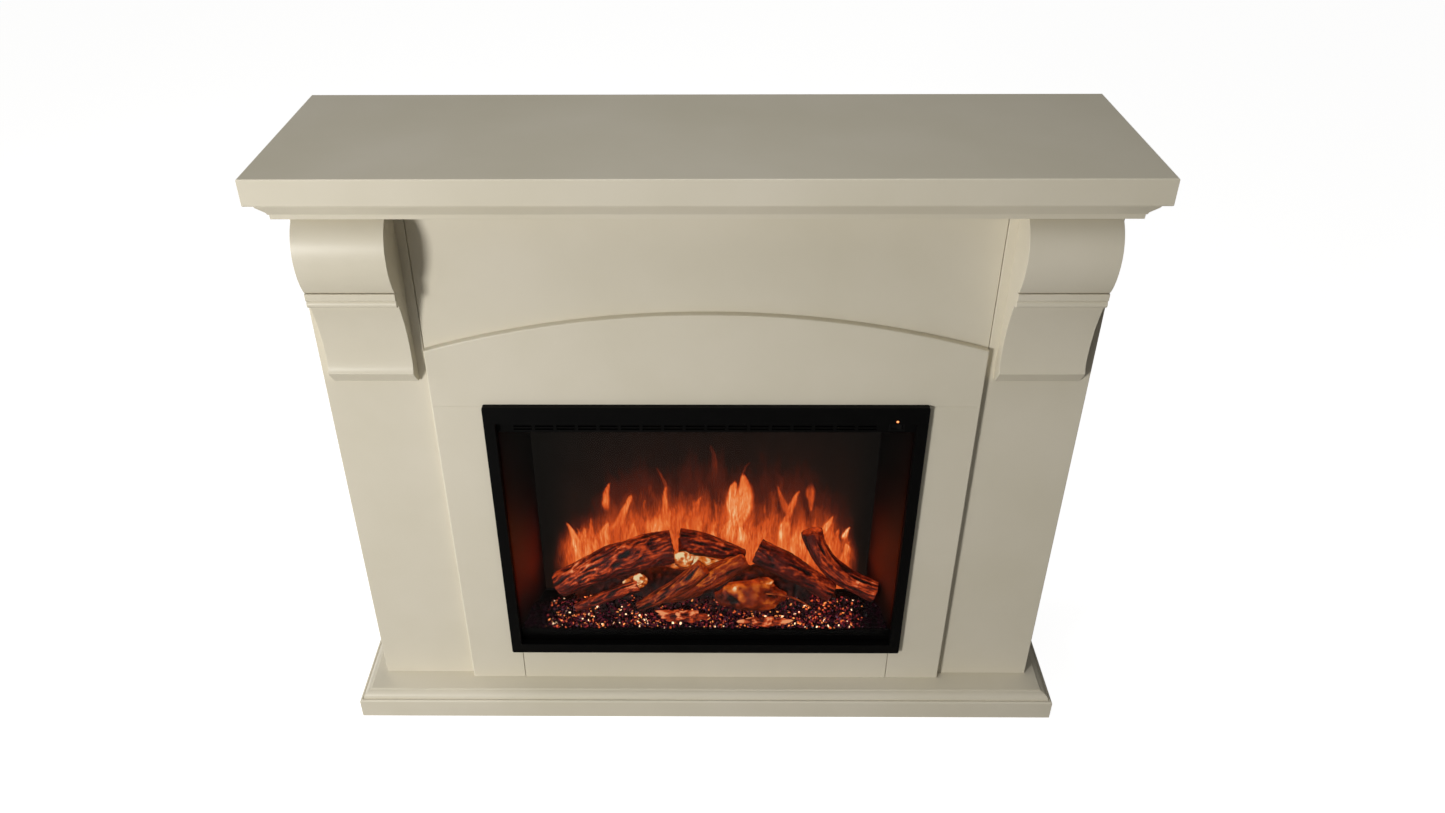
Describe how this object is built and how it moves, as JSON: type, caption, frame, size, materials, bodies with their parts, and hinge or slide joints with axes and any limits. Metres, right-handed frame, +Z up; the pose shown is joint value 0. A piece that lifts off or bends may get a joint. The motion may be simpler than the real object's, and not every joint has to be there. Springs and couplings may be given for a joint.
{
  "type": "electric fireplace",
  "caption": "Free-standing electric fireplace: cream mantel surround with corbelled legs, arched front panel and moulded plinth, around a framed flame insert with logs and embers.",
  "frame": {"origin": "on the floor, under the middle of the overall box", "axes": "+Z up, front of the fireplace towards -Y, +X to the right seen from the front"},
  "size_m": [1.556, 0.427, 1.303],
  "materials": {
    "painted_board": "satin cream paint on board",
    "raw_wood": "sawn softwood",
    "zinc_steel": "zinc plated",
    "black_trim": "black powder coat",
    "tinted_glass": "clear tempered glass, lightly tinted",
    "seal_rubber": "matt",
    "casing_steel": "dark grey coated sheet",
    "black_plastic": "fine matt",
    "chamber_liner": "dark satin coat",
    "flame_screen": "dark acrylic lit from behind",
    "ember_resin": "translucent resin, lit from below",
    "ash_resin": "dark painted resin",
    "log_resin": "hand-painted resin bark",
    "log_glow": "hand-painted resin, lit from below",
    "circuit": "white circuit strip",
    "circuit_green": "green circuit board",
    "mirror_sheet": "polished",
    "motor_steel": "plated",
    "nylon": "natural nylon",
    "fan_aluminium": "satin",
    "heater_brass": "dull",
    "indicator": "lit orange lens"
  },
  "bodies": {
    "mantel": {"shelf_slab": "painted_board", "crown_front": "painted_board", "crown_returns": "painted_board", "sub_top": "painted_board", "header_panel": "painted_board", "arch_rail": "painted_board", "stile_left": "painted_board", "stile_right": "painted_board", "bottom_rail": "painted_board", "opening_jambs": "painted_board", "leg_face_left": "painted_board", "leg_face_right": "painted_board", "leg_returns": "painted_board", "side_panel_left": "painted_board", "side_panel_right": "painted_board", "corbel_left": "painted_board", "corbel_right": "painted_board", "corbel_beads": "painted_board", "plinth_board": "painted_board", "plinth_mould_front": "painted_board", "plinth_mould_returns": "painted_board", "plinth_blocks": "raw_wood", "insert_shelf": "painted_board", "back_rails": "painted_board", "wall_brackets": "zinc_steel", "trim_frame": "black_trim", "front_glass": "tinted_glass", "glass_gasket": "seal_rubber", "outlet_grille": "black_trim", "case_panels": "casing_steel", "rear_cover": "casing_steel", "cover_screws": "zinc_steel", "cable_gland": "black_plastic", "heater_shelf": "zinc_steel", "side_liners": "chamber_liner", "flame_screen": "flame_screen", "ember_tray": "black_trim", "ember_bed": "ember_resin", "log_base": "ash_resin", "log_large": "log_resin", "log_back": "log_resin", "log_fork": "log_glow", "log_right": "log_resin", "log_upright": "log_resin", "log_low": "log_resin", "ember_lumps": "ember_resin", "led_bars": "circuit", "flame_reflector": "mirror_sheet", "flicker_motor": "motor_steel", "flicker_bearing": "nylon", "blower_housing": "zinc_steel", "blower_motor": "motor_steel", "heater_element": "heater_brass", "control_board": "circuit_green", "rocker_bezel": "black_plastic", "indicator_lens": "indicator", "insert_brackets": "zinc_steel"},
    "flicker": {"flicker_rod": "mirror_sheet"},
    "blower": {"blower_wheel": "fan_aluminium"},
    "rocker": {"power_rocker": "black_plastic"}
  },
  "joints": [
    {"name": "flicker_rod_spin", "type": "hinge", "parent": "mantel", "child": "flicker", "pos_m": [0, 0.0565, 0.24], "axis": [1, 0, 0], "continuous": true},
    {"name": "blower_spin", "type": "hinge", "parent": "mantel", "child": "blower", "pos_m": [0, -0.0465, 0.772], "axis": [1, 0, 0], "continuous": true},
    {"name": "power_rocker_tilt", "type": "hinge", "parent": "mantel", "child": "rocker", "pos_m": [0.372, -0.1165, 0.7565], "axis": [0, 0, 1], "range_deg": [0, 16]}
  ]
}
